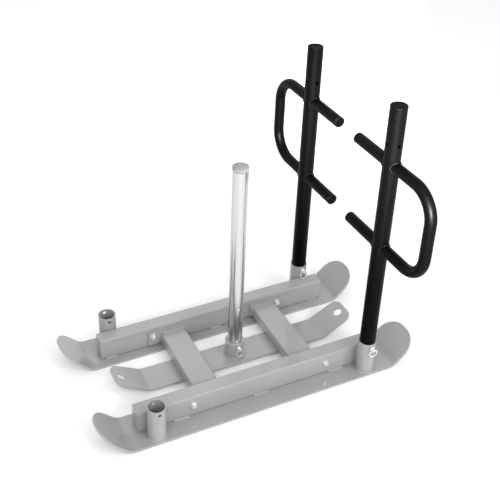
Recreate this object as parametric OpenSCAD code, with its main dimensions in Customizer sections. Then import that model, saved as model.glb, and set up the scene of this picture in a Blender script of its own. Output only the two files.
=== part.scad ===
// Push sled: two skids joined by a low frame, two removable uprights with D-shaped handles,
// and a post for weight plates.
// X runs from the front to the rear, Y from the near skid to the far one, Z up.
// The origin is on the floor at the middle of the sled. All sizes are in millimetres.

/* [Overall] */
// Distance between the centre lines of the near and far uprights
upright_spacing = 451.4; // [400:0.1:520]
// Distance between the centre lines of the front and rear sockets
socket_spacing = 727; // [660:1:800]

/* [Skids] */
// Length of a skid's flat part
skid_flat_l = 868; // [840:1:960]
// Width of a skid
skid_w = 144.8; // [136:0.1:170]
// Thickness of a skid
skid_t = 7; // [5:0.5:10]
// Radius of the underside where a skid's end turns up
skid_bend_r = 52; // [30:1:70]
// Angle by which a skid's end turns up
skid_bend_a = 43.4; // [30:0.1:50]
// Length of a skid's end along its underside, from the start of the bend to the tip
skid_end_l = 141; // [130:1:170]
// Corner radius at a skid's tip
skid_corner_r = 66; // [20:1:67]
// Width of the skid's ledge outside the sockets
skid_ledge = 5.4; // [5:0.1:20]

/* [Beams] */
// Length of a beam with its end plates
beam_l = 826; // [800:1:840]
// Width of a beam
beam_w = 48.3; // [40:0.1:60]
// Height of a beam
beam_h = 76; // [66:1:90]
// Wall of a beam's tube
beam_wall = 3; // [2:0.5:4]
// Outer corner radius of a beam's tube
beam_corner_r = 5; // [4.5:0.5:8]
// Thickness of the plates that close a beam's ends
beam_cap_t = 3; // [2:0.5:6]

/* [Sockets] */
// Outer diameter of a socket
socket_d = 58; // [56:0.5:66]
// Height of a socket
socket_h = 117.2; // [100:0.1:130]
// Height of the socket pins above the floor
pin_z = 111.5; // [104:0.5:116]

/* [Crossbars] */
// Distance from the middle of the sled to the front crossbar's centre line
front_bar_x = 161.7; // [120:0.1:175]
// Distance from the middle of the sled to the rear crossbar's centre line
rear_bar_x = 179.3; // [120:0.1:180]
// Width of a crossbar
bar_w = 84; // [60:1:86]
// Height of a crossbar
bar_h = 38; // [30:1:50]
// Wall of a crossbar's tube
bar_wall = 3; // [2:0.5:4]
// Outer corner radius of a crossbar's tube
bar_corner_r = 5; // [4.5:0.5:8]
// Thickness of a crossbar's end flanges
flange_t = 6; // [4:0.5:8]
// Height of a crossbar's end flanges
flange_h = 51.4; // [50:0.1:60]
// Length of a flange on the inner side of its crossbar
flange_inner_l = 9; // [7:0.5:20]
// Length of a flange past its bolt
flange_outer_l = 17; // [12:0.5:24]
// Distance from the middle of the sled to the flanges' bolts
bolt_x = 232; // [232:0.5:260]
// Height of the bolts above the floor
bolt_z = 49; // [42:0.5:52]
// Diameter of the bolts
bolt_d = 10; // [8:0.5:10.5]
// Hexagon of the bolts' heads and nuts, across flats
hex_af = 17; // [15:0.5:18]
// Height of a bolt's head
head_h = 6.4; // [4:0.1:8]
// Height of a nut
nut_h = 8; // [6:0.5:10]
// Length of a bolt past its nut
bolt_end_l = 3; // [1:0.5:6]
// Diameter of a washer
washer_d = 20; // [19:0.5:21]
// Thickness of a washer
washer_t = 2; // [1:0.5:3]

/* [Pull plate] */
// Length of the pull plate's flat part
plate_flat_l = 611; // [590:1:640]
// Width of the pull plate
plate_w = 100; // [90:1:120]
// Thickness of the pull plate
plate_t = 8; // [6:0.5:10]
// Height of the pull plate's underside above the floor
plate_z = 6.6; // [4:0.1:10]
// Radius of the underside where the plate's end turns up
plate_bend_r = 40; // [20:1:60]
// Angle by which the plate's end turns up
plate_bend_a = 28.3; // [20:0.1:35]
// Length of the plate's end along its underside, from the start of the bend to the tip
plate_end_l = 133.3; // [110:0.1:150]
// Corner radius at the plate's tip
plate_corner_r = 30; // [10:1:44]
// Diameter of the pull hole
pull_hole_d = 30; // [20:0.5:36]
// Distance from the pull hole's centre to the plate's tip
pull_hole_edge = 30; // [24:0.5:40]

/* [Weight post] */
// Diameter of the weight post
post_d = 48; // [42:0.5:50]
// Wall of the weight post's tube
post_wall = 3; // [2:0.5:5]
// Height of the post's tube above the pull plate
post_l = 704.4; // [560:0.1:800]
// Outer diameter of the post's socket
post_socket_d = 64; // [60:0.5:72]
// Height of the post's socket
post_socket_h = 57; // [54:0.5:64]
// Height of the post's pin above the floor
post_pin_z = 60; // [50:0.5:62]
// How far the post's cap stands out past the tube all round
post_cap_lip = 1.3; // [0.5:0.1:3]
// Height of the chamfer under the cap's rim
post_cap_chamfer_h = 5; // [2:0.5:6]
// Height of the cap's rim
post_cap_rim_h = 5.6; // [4:0.1:8]
// Height of the cap's dome above its rim
post_cap_dome_h = 4.4; // [2:0.1:6]

/* [Uprights] */
// Outer diameter of an upright
upright_d = 50.8; // [46:0.1:52]
// Wall of an upright's tube
upright_wall = 2.5; // [1.5:0.5:4]
// Height of an upright's tube
upright_l = 952; // [860:1:1100]
// Height of the cross holes near an upright's top, above the floor
top_hole_z = 845; // [825:1:855]
// Diameter of the pin holes and the cross holes
pin_hole_d = 11; // [10.8:0.1:12]
// Thickness of the plug's rim on an upright's top
upright_cap_t = 3; // [2:0.5:6]

/* [Handles] */
// Outer diameter of a handle's tube
handle_d = 34.8; // [30:0.1:38]
// Wall of a handle's tube
handle_wall = 2.5; // [1.5:0.5:4]
// Height of the handle's upper run above the floor
handle_top_z = 776; // [740:1:790]
// Height of the handle's lower run above the floor
handle_low_z = 494; // [440:1:520]
// Distance from an upright's centre line to the grip's centre line
handle_reach = 202.3; // [170:0.1:240]
// Distance from an upright's centre line to the handle's inner ends
handle_inner_l = 170.7; // [120:0.1:190]
// Bend radius of a handle's centre line
handle_bend_r = 86; // [60:1:100]
// Thickness of the rim of the plugs in a handle's ends
handle_plug_t = 3; // [2:0.5:5]

/* [Pins] */
// Diameter of a pin
pin_d = 10; // [8:0.1:10.1]
// Length of a pin past its socket
pin_tip_l = 10; // [6:0.5:12]
// Diameter of a pin's collar
pin_collar_d = 16; // [14:0.5:18]
// Thickness of a pin's collar
pin_collar_t = 5; // [4:0.5:7]
// Diameter of a pin's eye
pin_eye_d = 9; // [8.5:0.1:10]
// Length of a pin's eye
pin_eye_l = 9; // [8.5:0.1:11]
// Diameter of the hole through a pin's eye
pin_eye_hole_d = 5.4; // [5.2:0.1:5.6]
// Outer diameter of a split ring
ring_d = 30; // [28:0.5:30]
// Wire thickness of a split ring
ring_wire_d = 3; // [2:0.1:3]

/* [Welds] */
// Leg of the welds along the beams
beam_weld_leg = 7; // [5:0.5:9]
// Leg of the welds round the sockets and the crossbars' ends
small_weld_leg = 5; // [3:0.5:5]
// Length of the three stitches along a beam's inner foot
inner_stitch_l = 42; // [30:1:60]
// Length of the three stitches along a beam's outer foot
outer_stitch_l = 54; // [30:1:80]
// Distance from the middle of the sled to the end stitches on the inner side
inner_stitch_x = 379; // [300:1:388]
// Distance from the middle of the sled to the end stitches on the outer side
outer_stitch_x = 272; // [120:1:300]
// Radius of the seams between sockets and beams
seam_r = 3; // [2:0.1:4]
// Height of the seams between sockets and beams
seam_h = 73; // [50:1:75]
// How far a handle's weld reaches along the handle's tube
handle_weld_l = 4; // [2:0.5:6]
// How far a handle's weld stands off the handle's tube
handle_weld_t = 5; // [2:0.5:5]

/* [Hidden] */
$fn = 96;

// Signs of the two sides and the two ends
near = -1;
far = 1;
front = -1;
rear = 1;

// Colours
base_grey = [0.66, 0.67, 0.68];
upright_black = [0.12, 0.12, 0.13];
plug_black = [0.05, 0.05, 0.06];
chrome = [0.82, 0.83, 0.85];
zinc = [0.74, 0.75, 0.77];
cap_grey = [0.55, 0.56, 0.57];

// Clearance between a tube and the socket or hole that it passes through, on the radius
tube_clear = 0.3;
// Gap between a weld and the pieces that it joins
weld_clear = 0.1;
// Gap between a socket and the beam beside it
socket_gap = 0.3;
// Clearance of a bolt in its hole, on the radius
bolt_clear = 0.4;
// Gap between a pin's collar and the socket
collar_gap = 0.3;
// Gap between the far ring and the beam that it leans on
ring_gap = 0.4;
// Clearance of a plug in its tube, on the radius
plug_clear = 0.2;
// Length of a plug inside its tube
plug_l = 14;
// Extra length of a tool that cuts right through
over = 1;
// Gap between a beam's trimmed end and the bend of the skid under it
bend_clear = 0.5;
// Extra radius of a rectangular tube's inner corners
inner_corner_extra = 1;
// Least width left between the two rounded corners at a strip's tip
least_tip_w = 2;
// Number of flats that make up a strip's bend
bend_steps = 24;
// How far a corner's circle is set out, so that it crosses the straight edges instead of grazing them
corner_set_out = 0.05;

// Heights
bar_z = plate_z + plate_t;
beam_z = skid_t + beam_h / 2;
socket_top_z = skid_t + socket_h;

// Places along X
socket_x = socket_spacing / 2;

// Places along Y
upright_y = upright_spacing / 2;
beam_outer_y = upright_y - socket_d / 2 - socket_gap;
beam_y = beam_outer_y - beam_w / 2;
beam_inner_y = beam_outer_y - beam_w;
flange_inner_y = beam_inner_y - flange_t;
skid_y = upright_y + socket_d / 2 + skid_ledge - skid_w / 2;

// Bores
socket_bore_d = upright_d + 2 * tube_clear;
post_bore_d = post_d + 2 * tube_clear;
handle_hole_d = handle_d + 2 * tube_clear;
bolt_hole_d = bolt_d + 2 * bolt_clear;

// Seams sit where a round bead touches both the socket and the beam
seam_x = sqrt((2 * seam_r - socket_gap) * (socket_d + socket_gap));

// Distance from a ring's hinge to its centre
ring_r = (ring_d - ring_wire_d) / 2;

// The far ring is too long to hang straight above the far beam, so it leans out on the beam's top
ring_drop = pin_z - skid_t - beam_h - ring_wire_d / 2 - ring_gap;
far_ring_lean = acos(min(1, ring_drop / (2 * ring_r)));

// Rectangle with rounded corners, centred
module rounded_rect(w, h, r) {
    square([w - 2 * r, h], center = true);
    square([w, h - 2 * r], center = true);
    for (sx = [-1, 1])
        for (sy = [-1, 1])
            translate([sx * (w / 2 - r), sy * (h / 2 - r)])
                circle(r);
}

// Section of a rectangular tube
module tube_section(w, h, r, wall) {
    difference() {
        rounded_rect(w, h, r);
        rounded_rect(w - 2 * wall, h - 2 * wall, r - wall + inner_corner_extra);
    }
}

// Points of a strip's side view from its right bend outwards along the underside and back along the top
function bent_half(flat_l, t, bend_r, bend_a, straight_l) =
    let (
        turns = [for (i = [0:bend_steps]) bend_a * i / bend_steps],
        tip = [flat_l / 2 + bend_r * sin(bend_a) + straight_l * cos(bend_a),
               bend_r - bend_r * cos(bend_a) + straight_l * sin(bend_a)]
    )
    concat(
        [for (a = turns) [flat_l / 2 + bend_r * sin(a), bend_r - bend_r * cos(a)]],
        [tip, tip + t * [-sin(bend_a), cos(bend_a)]],
        [for (i = [bend_steps:-1:0])
            [flat_l / 2 + (bend_r - t) * sin(turns[i]), bend_r - (bend_r - t) * cos(turns[i])]]
    );

// Side view of a strip whose two ends bend up, with its underside at height 0
module bent_profile(flat_l, t, bend_r, bend_a, straight_l) {
    right = bent_half(flat_l, t, bend_r, bend_a, straight_l);
    left = [for (i = [len(right) - 1:-1:0]) [-right[i][0], right[i][1]]];
    polygon(concat(right, left));
}

// Waste outside the two rounded corners of a strip of width w that ends at x = l
module corner_waste(l, w, r) {
    centre = [l - r + corner_set_out, w / 2 - r + corner_set_out];
    for (flip = [0, 1])
        mirror([0, flip])
            difference() {
                translate(centre)
                    square(r + over);
                translate(centre)
                    circle(r);
            }
}

// Length of the straight part of a strip's end
function straight_part(bend_r, bend_a, end_l) = end_l - bend_r * bend_a * PI / 180;

// What is cut from a strip's right end: the waste outside its rounded corners, and its hole
// There is no hole when hole_d is zero
module strip_end_cuts(flat_l, w, t, bend_r, bend_a, end_l, corner_r, hole_d, hole_edge) {
    straight_l = straight_part(bend_r, bend_a, end_l);
    translate([flat_l / 2, 0, bend_r])
        rotate([0, -bend_a, 0])
            translate([0, 0, -bend_r - over]) {
                linear_extrude(t + 2 * over)
                    corner_waste(straight_l, w, min(corner_r, (w - least_tip_w) / 2));
                if (hole_d > 0)
                    translate([straight_l - hole_edge, 0, 0])
                        cylinder(h = t + 2 * over, d = hole_d);
            }
}

// Hole along Y through a round piece, at height z
module hole_along_y(z, d, l) {
    translate([0, 0, z])
        rotate([90, 0, 0])
            cylinder(h = l, d = d, center = true);
}

// Hole along X through a round piece, at height z
module hole_along_x(z, d, l) {
    translate([0, 0, z])
        rotate([0, 90, 0])
            cylinder(h = l, d = d, center = true);
}

// Upright round tube, open at both ends
module round_tube(d, bore, h) {
    difference() {
        cylinder(h = h, d = d);
        translate([0, 0, -over])
            cylinder(h = h + 2 * over, d = bore);
    }
}

module skid(side) {
    color(base_grey)
        translate([0, side * skid_y, 0])
            difference() {
                rotate([90, 0, 0])
                    linear_extrude(skid_w, center = true)
                        bent_profile(skid_flat_l, skid_t, skid_bend_r, skid_bend_a,
                                     straight_part(skid_bend_r, skid_bend_a, skid_end_l));
                for (turn = [0, 180])
                    rotate([0, 0, turn])
                        strip_end_cuts(skid_flat_l, skid_w, skid_t, skid_bend_r, skid_bend_a,
                                       skid_end_l, skid_corner_r, 0, 0);
            }
}

// Space under and just above a skid's turned-up ends
// A beam that is longer than the skid's flat part is trimmed by it
module skid_bend_space(side) {
    r = skid_bend_r - skid_t - bend_clear;
    curve = [for (i = [0:bend_steps])
        let (a = skid_bend_a * i / bend_steps)
        [skid_flat_l / 2 + r * sin(a), skid_bend_r - r * cos(a)]];
    tip = curve[bend_steps] + skid_end_l * [cos(skid_bend_a), sin(skid_bend_a)];
    translate([0, side * skid_y, 0])
        for (turn = [0, 180])
            rotate([0, 0, turn])
                rotate([90, 0, 0])
                    linear_extrude(skid_w, center = true)
                        polygon(concat([[skid_flat_l / 2, -over]], curve, [tip, [tip[0], -over]]));
}

module beam(side) {
    tube_l = beam_l - 2 * beam_cap_t;
    color(base_grey)
        difference() {
            translate([0, side * beam_y, beam_z])
                rotate([90, 0, 90])
                    linear_extrude(tube_l, center = true)
                        tube_section(beam_w, beam_h, beam_corner_r, beam_wall);
            skid_bend_space(side);
            for (end = [front, rear])
                translate([end * bolt_x, side * beam_y, 0])
                    hole_along_y(bolt_z, bolt_hole_d, beam_w + 2 * over);
        }
}

module beam_cap(side, end) {
    color(base_grey)
        difference() {
            translate([end * (beam_l - beam_cap_t) / 2, side * beam_y, beam_z])
                rotate([90, 0, 90])
                    linear_extrude(beam_cap_t, center = true)
                        rounded_rect(beam_w, beam_h, beam_corner_r);
            skid_bend_space(side);
        }
}

module socket(side, end) {
    color(base_grey)
        translate([end * socket_x, side * upright_y, 0])
            difference() {
                translate([0, 0, skid_t])
                    round_tube(socket_d, socket_bore_d, socket_h);
                hole_along_y(pin_z, pin_hole_d, socket_d + 2 * over);
            }
}

// Crossbar at place x
module crossbar(x) {
    color(base_grey)
        translate([x, 0, bar_z + bar_h / 2])
            rotate([90, 0, 0])
                linear_extrude(2 * flange_inner_y, center = true)
                    tube_section(bar_w, bar_h, bar_corner_r, bar_wall);
}

// Flange at one end of a crossbar, with its bolt hole
module flange(side, end, bar_x) {
    inner_x = bar_x - bar_w / 2 - flange_inner_l;
    outer_x = bolt_x + flange_outer_l;
    color(base_grey)
        difference() {
            translate([end * (inner_x + outer_x) / 2,
                       side * (flange_inner_y + flange_t / 2),
                       bar_z + flange_h / 2])
                cube([outer_x - inner_x, flange_t, flange_h], center = true);
            translate([end * bolt_x, side * flange_inner_y, 0])
                hole_along_y(bolt_z, bolt_hole_d, 4 * flange_t);
        }
}

// Places its children at each bolt, turned so that +Z runs from the flange out through the beam
module at_bolts() {
    for (side = [near, far])
        for (end = [front, rear])
            translate([end * bolt_x, 0, bolt_z])
                rotate([side == far ? -90 : 90, 0, 0])
                    children();
}

module crossbar_bolts() {
    low = flange_inner_y - washer_t - nut_h - bolt_end_l;
    head_low = beam_outer_y + washer_t;
    color(zinc)
        at_bolts() {
            translate([0, 0, low])
                cylinder(h = head_low - low + head_h / 2, d = bolt_d);
            translate([0, 0, head_low])
                cylinder(h = head_h, d = hex_af / cos(30), $fn = 6);
        }
}

module crossbar_nuts() {
    color(zinc)
        at_bolts()
            translate([0, 0, flange_inner_y - washer_t - nut_h])
                difference() {
                    cylinder(h = nut_h, d = hex_af / cos(30), $fn = 6);
                    translate([0, 0, -over])
                        cylinder(h = nut_h + 2 * over, d = bolt_d + 2 * weld_clear);
                }
}

module crossbar_washers() {
    color(zinc)
        at_bolts()
            for (low = [flange_inner_y - washer_t, beam_outer_y])
                translate([0, 0, low])
                    round_tube(washer_d, bolt_hole_d, washer_t);
}

// Flat middle of the pull plate
module pull_plate() {
    color(base_grey)
        translate([0, 0, plate_z + plate_t / 2])
            cube([plate_flat_l, plate_w, plate_t], center = true);
}

// Turned-up end of the pull plate, with its hole
module pull_plate_end(end) {
    color(base_grey)
        translate([0, 0, plate_z])
            rotate([0, 0, end == rear ? 0 : 180])
                difference() {
                    rotate([90, 0, 0])
                        linear_extrude(plate_w, center = true)
                            polygon(bent_half(plate_flat_l, plate_t, plate_bend_r, plate_bend_a,
                                              straight_part(plate_bend_r, plate_bend_a, plate_end_l)));
                    strip_end_cuts(plate_flat_l, plate_w, plate_t, plate_bend_r, plate_bend_a,
                                   plate_end_l, plate_corner_r, pull_hole_d, pull_hole_edge);
                }
}

module post_socket() {
    color(base_grey)
        difference() {
            translate([0, 0, bar_z])
                round_tube(post_socket_d, post_bore_d, post_socket_h);
            hole_along_y(post_pin_z, pin_hole_d, post_socket_d + 2 * over);
        }
}

module weight_post() {
    color(chrome)
        difference() {
            translate([0, 0, bar_z])
                round_tube(post_d, post_d - 2 * post_wall, post_l);
            hole_along_y(post_pin_z, pin_hole_d, post_d + 2 * over);
        }
}

// Cap with a plug in the post, a chamfered rim just wider than the post and a low dome
module weight_post_cap() {
    rim_r = post_d / 2 + post_cap_lip;
    rim_z = post_cap_chamfer_h + post_cap_rim_h;
    dome_r = (rim_r * rim_r + post_cap_dome_h * post_cap_dome_h) / (2 * post_cap_dome_h);
    color(cap_grey)
        translate([0, 0, bar_z + post_l]) {
            translate([0, 0, -plug_l])
                cylinder(h = plug_l, d = post_d - 2 * post_wall - 2 * plug_clear);
            cylinder(h = post_cap_chamfer_h, r1 = post_d / 2, r2 = rim_r);
            translate([0, 0, post_cap_chamfer_h])
                cylinder(h = post_cap_rim_h, r = rim_r);
            translate([0, 0, rim_z])
                intersection() {
                    translate([0, 0, post_cap_dome_h - dome_r])
                        sphere(dome_r, $fn = 192);
                    cylinder(h = post_cap_dome_h + over, r = rim_r + over);
                }
        }
}

module upright(side) {
    color(upright_black)
        translate([socket_x, side * upright_y, 0])
            difference() {
                translate([0, 0, skid_t])
                    round_tube(upright_d, upright_d - 2 * upright_wall, upright_l);
                hole_along_y(pin_z, pin_hole_d, upright_d + 2 * over);
                hole_along_y(handle_low_z, handle_hole_d, upright_d + 2 * over);
                hole_along_y(handle_top_z, handle_hole_d, upright_d + 2 * over);
                hole_along_y(top_hole_z, pin_hole_d, upright_d + 2 * over);
                hole_along_x(top_hole_z, pin_hole_d, upright_d + 2 * over);
            }
}

// Plug with its rim on a tube's end and its stem in the bore, tube end at z = 0
module tube_plug(d, wall, rim_t) {
    translate([0, 0, -plug_l])
        cylinder(h = plug_l, d = d - 2 * wall - 2 * plug_clear);
    cylinder(h = rim_t / 2, d = d);
    translate([0, 0, rim_t / 2])
        cylinder(h = rim_t / 2, d1 = d, d2 = d - rim_t);
}

module upright_cap(side) {
    color(plug_black)
        translate([socket_x, side * upright_y, skid_t + upright_l])
            tube_plug(upright_d, upright_wall, upright_cap_t);
}

// Solid bar along a handle's route, measured from its upright's centre line:
// in along Y above, round two bends outside, and back in along Y below
module handle_route(d, end_over) {
    grip_top = handle_top_z - handle_bend_r;
    grip_low = handle_low_z + handle_bend_r;
    bend_y = handle_reach - handle_bend_r;
    inner_y = -handle_inner_l - end_over;
    for (z = [handle_top_z, handle_low_z])
        translate([0, inner_y, z])
            rotate([-90, 0, 0])
                cylinder(h = bend_y - inner_y, d = d);
    translate([0, handle_reach, grip_low])
        cylinder(h = grip_top - grip_low, d = d);
    translate([0, bend_y, grip_top])
        rotate([0, -90, 0])
            rotate_extrude(angle = 90)
                translate([handle_bend_r, 0])
                    circle(d = d);
    translate([0, bend_y, grip_low])
        rotate([0, -90, 0])
            rotate([0, 0, 90])
                rotate_extrude(angle = 90)
                    translate([handle_bend_r, 0])
                        circle(d = d);
}

module handle(side) {
    color(upright_black)
        translate([socket_x, side * upright_y, 0])
            rotate([0, 0, side == far ? 0 : 180])
                difference() {
                    handle_route(handle_d, 0);
                    handle_route(handle_d - 2 * handle_wall, over);
                }
}

module handle_plugs(side) {
    color(plug_black)
        translate([socket_x, side * upright_y, 0])
            rotate([0, 0, side == far ? 0 : 180])
                for (z = [handle_top_z, handle_low_z])
                    translate([0, -handle_inner_l, z])
                        rotate([90, 0, 0])
                            tube_plug(handle_d, handle_wall, handle_plug_t);
}

// Weld rings where a handle enters and leaves its upright
module handle_welds(side) {
    color(upright_black)
        translate([socket_x, side * upright_y, 0])
            for (z = [handle_top_z, handle_low_z])
                difference() {
                    intersection() {
                        hole_along_y(z, handle_d + 2 * handle_weld_t, 2 * upright_d);
                        translate([0, 0, z - handle_d])
                            cylinder(h = 2 * handle_d, d = upright_d + 2 * handle_weld_l);
                    }
                    hole_along_y(z, handle_d + 2 * weld_clear, 3 * upright_d);
                    translate([0, 0, z - handle_d - over])
                        cylinder(h = 2 * handle_d + 2 * over, d = upright_d + 2 * weld_clear);
                }
}

// Bead of length l along X, in the corner between the floor z = 0 and a wall at y = 0 on the -Y side
module stitch(l, leg) {
    intersection() {
        union() {
            rotate([0, 90, 0])
                cylinder(h = l - 2 * leg, r = leg, center = true);
            for (s = [-1, 1])
                translate([s * (l / 2 - leg), 0, 0])
                    sphere(leg);
        }
        translate([-l / 2, -beam_corner_r / 2, 0])
            cube([l, leg + beam_corner_r, leg]);
    }
}

// Stitches along both feet of a beam
module beam_welds(side) {
    color(base_grey)
        difference() {
            for (place = [-1, 0, 1]) {
                translate([place * outer_stitch_x, side * beam_outer_y, skid_t])
                    mirror([0, side == far ? 0 : 1, 0])
                        stitch(outer_stitch_l, beam_weld_leg);
                translate([place * inner_stitch_x, side * beam_inner_y, skid_t])
                    mirror([0, side == far ? 1 : 0, 0])
                        stitch(inner_stitch_l, beam_weld_leg);
            }
            translate([0, side * beam_y, beam_z])
                rotate([90, 0, 90])
                    linear_extrude(beam_l + 2 * over, center = true)
                        rounded_rect(beam_w + 2 * weld_clear, beam_h + 2 * weld_clear,
                                     beam_corner_r + weld_clear);
        }
}

// Triangular bead round a pipe of diameter d that stands on z = 0
module foot_ring(d, leg) {
    rotate_extrude()
        translate([d / 2 + weld_clear, 0])
            polygon([[0, 0], [leg, 0], [0, leg]]);
}

// Rings round the sockets' feet, on the side away from the beam
module socket_welds() {
    color(base_grey)
        for (side = [near, far])
            for (end = [front, rear])
                translate([end * socket_x, side * upright_y, skid_t])
                    intersection() {
                        foot_ring(socket_d, small_weld_leg);
                        translate([0, side * socket_d / 2, 0])
                            cube([2 * socket_d, socket_d, 4 * small_weld_leg], center = true);
                    }
}

// Upright beads in the grooves between the sockets and the beams
module socket_seams() {
    color(base_grey)
        for (side = [near, far])
            for (end = [front, rear])
                for (s = [-1, 1])
                    translate([end * socket_x + s * seam_x,
                               side * (beam_outer_y + seam_r + weld_clear / 2),
                               skid_t])
                        cylinder(h = seam_h, r = seam_r - weld_clear);
}

// Beads on the top edge and the inner side of each crossbar's ends, against the flanges
module crossbar_welds() {
    leg = small_weld_leg;
    color(base_grey)
        for (bar = [[front, front_bar_x], [rear, rear_bar_x]])
            for (side = [near, far])
                translate([bar[0] * bar[1], side * flange_inner_y, bar_z + bar_h / 2])
                    mirror([bar[0] == front ? 1 : 0, 0, 0])
                        mirror([0, side == far ? 1 : 0, 0])
                            crossbar_bead(leg);
}

// Bead on a crossbar's top edge and its inner side, with the flange at y = 0 and the bar on the +Y side
module crossbar_bead(leg) {
    difference() {
        union() {
            translate([0, 0, bar_h / 2])
                rotate([0, 90, 0])
                    cylinder(h = bar_w - 2 * bar_corner_r, r = leg, center = true);
            translate([-bar_w / 2, 0, 0])
                cylinder(h = bar_h - 2 * bar_corner_r, r = leg, center = true);
        }
        translate([-bar_w, -2 * leg, -bar_h])
            cube([2 * bar_w, 2 * leg, 2 * bar_h]);
        rotate([90, 0, 0])
            linear_extrude(4 * leg, center = true)
                rounded_rect(bar_w + 2 * weld_clear, bar_h + 2 * weld_clear,
                             bar_corner_r + weld_clear);
    }
}

module post_socket_weld() {
    color(base_grey)
        translate([0, 0, bar_z])
            foot_ring(post_socket_d, small_weld_leg);
}

// Places its children at a pin's axis on the socket's near face, +Z pointing along -Y
module at_pin(place) {
    translate(place)
        rotate([90, 0, 0])
            children();
}

near_pin = [socket_x, near * upright_y, pin_z];
far_pin = [socket_x, far * upright_y, pin_z];
post_pin = [0, 0, post_pin_z];

// Distance from a socket's centre line to the hole in its pin's eye
function eye_reach(hub_d) = hub_d / 2 + collar_gap + pin_collar_t + pin_eye_l / 2;

// Pin through a socket of outer diameter hub_d, with its collar and eye on the -Y side
module pull_pin(place, hub_d) {
    collar_low = hub_d / 2 + collar_gap;
    tip_chamfer = pin_d / 5;
    tip = -hub_d / 2 - pin_tip_l;
    color(zinc)
        at_pin(place)
            difference() {
                union() {
                    translate([0, 0, tip])
                        cylinder(h = tip_chamfer, d1 = pin_d - 2 * tip_chamfer, d2 = pin_d);
                    translate([0, 0, tip + tip_chamfer])
                        cylinder(h = collar_low - tip - tip_chamfer, d = pin_d);
                    translate([0, 0, collar_low])
                        cylinder(h = pin_collar_t, d = pin_collar_d);
                    translate([0, 0, collar_low + pin_collar_t])
                        cylinder(h = pin_eye_l, d = pin_eye_d);
                }
                translate([0, 0, eye_reach(hub_d)])
                    rotate([0, 90, 0])
                        cylinder(h = pin_collar_d, d = pin_eye_hole_d, center = true);
            }
}

// Ring that hangs in a pin's eye, leaning out from the vertical by an angle
module split_ring(place, hub_d, lean) {
    color(zinc)
        translate(place - [0, eye_reach(hub_d), 0])
            rotate([-lean, 0, 0])
                translate([0, 0, -ring_r])
                    rotate([90, 0, 0])
                        rotate_extrude()
                            translate([ring_r, 0])
                                circle(d = ring_wire_d);
}

skid(near);  // skid_near
skid(far);  // skid_far
beam(near);  // beam_near
beam(far);  // beam_far
beam_cap(near, front);  // beam_cap_near_front
beam_cap(near, rear);  // beam_cap_near_rear
beam_cap(far, front);  // beam_cap_far_front
beam_cap(far, rear);  // beam_cap_far_rear
socket(near, front);  // socket_near_front
socket(near, rear);  // socket_near_rear
socket(far, front);  // socket_far_front
socket(far, rear);  // socket_far_rear
crossbar(front * front_bar_x);  // crossbar_front
crossbar(rear * rear_bar_x);  // crossbar_rear
flange(near, front, front_bar_x);  // flange_near_front
flange(near, rear, rear_bar_x);  // flange_near_rear
flange(far, front, front_bar_x);  // flange_far_front
flange(far, rear, rear_bar_x);  // flange_far_rear
crossbar_bolts();
crossbar_nuts();
crossbar_washers();
pull_plate();
pull_plate_end(front);  // pull_plate_end_front
pull_plate_end(rear);  // pull_plate_end_rear
post_socket();
weight_post();
weight_post_cap();
upright(near);  // upright_near
upright(far);  // upright_far
upright_cap(near);  // upright_cap_near
upright_cap(far);  // upright_cap_far
handle(near);  // handle_near
handle(far);  // handle_far
handle_plugs(near);  // handle_plugs_near
handle_plugs(far);  // handle_plugs_far
handle_welds(near);  // handle_welds_near
handle_welds(far);  // handle_welds_far
beam_welds(near);  // beam_welds_near
beam_welds(far);  // beam_welds_far
socket_welds();
socket_seams();
crossbar_welds();
post_socket_weld();
pull_pin(near_pin, socket_d);  // pin_near
pull_pin(far_pin, socket_d);  // pin_far
pull_pin(post_pin, post_socket_d);  // pin_post
split_ring(near_pin, socket_d, 0);  // ring_near
split_ring(far_pin, socket_d, far_ring_lean);  // ring_far
split_ring(post_pin, post_socket_d, 0);  // ring_post
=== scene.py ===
"""Push sled: the finished surfaces and small details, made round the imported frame."""

from math import asin, copysign, cos, pi, radians, sin, sqrt, tau

import bmesh
import bpy
from bpy.types import Operator, Panel, PropertyGroup
from mathutils import Matrix, Vector


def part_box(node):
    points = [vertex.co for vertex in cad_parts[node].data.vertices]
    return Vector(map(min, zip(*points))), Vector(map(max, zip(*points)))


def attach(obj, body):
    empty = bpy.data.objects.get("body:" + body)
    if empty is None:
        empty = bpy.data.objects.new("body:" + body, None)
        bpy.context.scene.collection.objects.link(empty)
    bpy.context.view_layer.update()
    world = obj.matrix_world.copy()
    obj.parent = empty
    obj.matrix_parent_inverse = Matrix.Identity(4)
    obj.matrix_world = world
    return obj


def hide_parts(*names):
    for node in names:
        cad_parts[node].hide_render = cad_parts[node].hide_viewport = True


bl_info = {
    "name": "Push Sled",
    "version": (1, 0, 0),
    "blender": (4, 5, 0),
    "location": "View3D > Sidebar > Sled",
    "description": "Dresses a push sled's frame with painted, chromed and plated pieces",
    "category": "Object",
}

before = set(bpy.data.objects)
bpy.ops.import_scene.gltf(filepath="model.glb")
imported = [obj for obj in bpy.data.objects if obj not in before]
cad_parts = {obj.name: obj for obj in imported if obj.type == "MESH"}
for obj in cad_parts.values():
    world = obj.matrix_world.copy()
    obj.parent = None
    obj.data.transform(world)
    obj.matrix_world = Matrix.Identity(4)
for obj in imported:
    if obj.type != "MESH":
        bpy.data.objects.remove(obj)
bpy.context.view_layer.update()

SIDES = {"near": -1, "far": 1}
ENDS = {"front": -1, "rear": 1}
PINS = ("near", "far", "post")

# Vertices of a CAD node that are closer than this are one vertex
MERGE = 0.000002
# Edges sharper than this are rounded off
SHARP = radians(32)
# Points round a circle, and round the small circles of fasteners
ROUND = 96
SMALL_ROUND = 48


# Sizes and colours

def number(name, description, default, **more):
    return bpy.props.FloatProperty(name=name, description=description, default=default, **more)


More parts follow.
